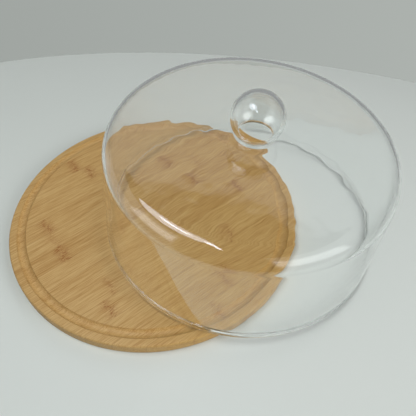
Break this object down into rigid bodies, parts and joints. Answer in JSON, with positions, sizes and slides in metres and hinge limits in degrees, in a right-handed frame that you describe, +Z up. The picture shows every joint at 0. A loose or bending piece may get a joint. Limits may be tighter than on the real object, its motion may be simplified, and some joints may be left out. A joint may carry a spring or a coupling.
{
  "type": "cheese dome",
  "caption": "Round bamboo serving board with a ring groove, and a loose clear glass cover with a ball knob, set down half off the board and lifting straight up.",
  "frame": {"origin": "middle of the board's underside, on the table", "axes": "+Z up out of the board's serving face, +X along the bamboo staves; the cover stands off towards +X and -Y"},
  "size_m": [0.3583, 0.3473, 0.1664],
  "materials": {
    "bamboo": "oiled satin",
    "clear_glass": "polished clear"
  },
  "bodies": {
    "board": {"board_stave_01": "bamboo", "board_stave_02": "bamboo", "board_stave_03": "bamboo", "board_stave_04": "bamboo", "board_stave_05": "bamboo", "board_stave_06": "bamboo", "board_stave_07": "bamboo", "board_stave_08": "bamboo", "board_stave_09": "bamboo", "board_stave_10": "bamboo", "board_stave_11": "bamboo", "board_stave_12": "bamboo", "board_stave_13": "bamboo", "board_stave_14": "bamboo", "board_stave_15": "bamboo"},
    "cover": {"glass_cover": "clear_glass", "ball_knob": "clear_glass"}
  },
  "joints": [
    {"name": "cover_lift", "type": "slide", "parent": "board", "child": "cover", "axis": [0, 0, 1], "range_m": [0, 0.16]}
  ]
}
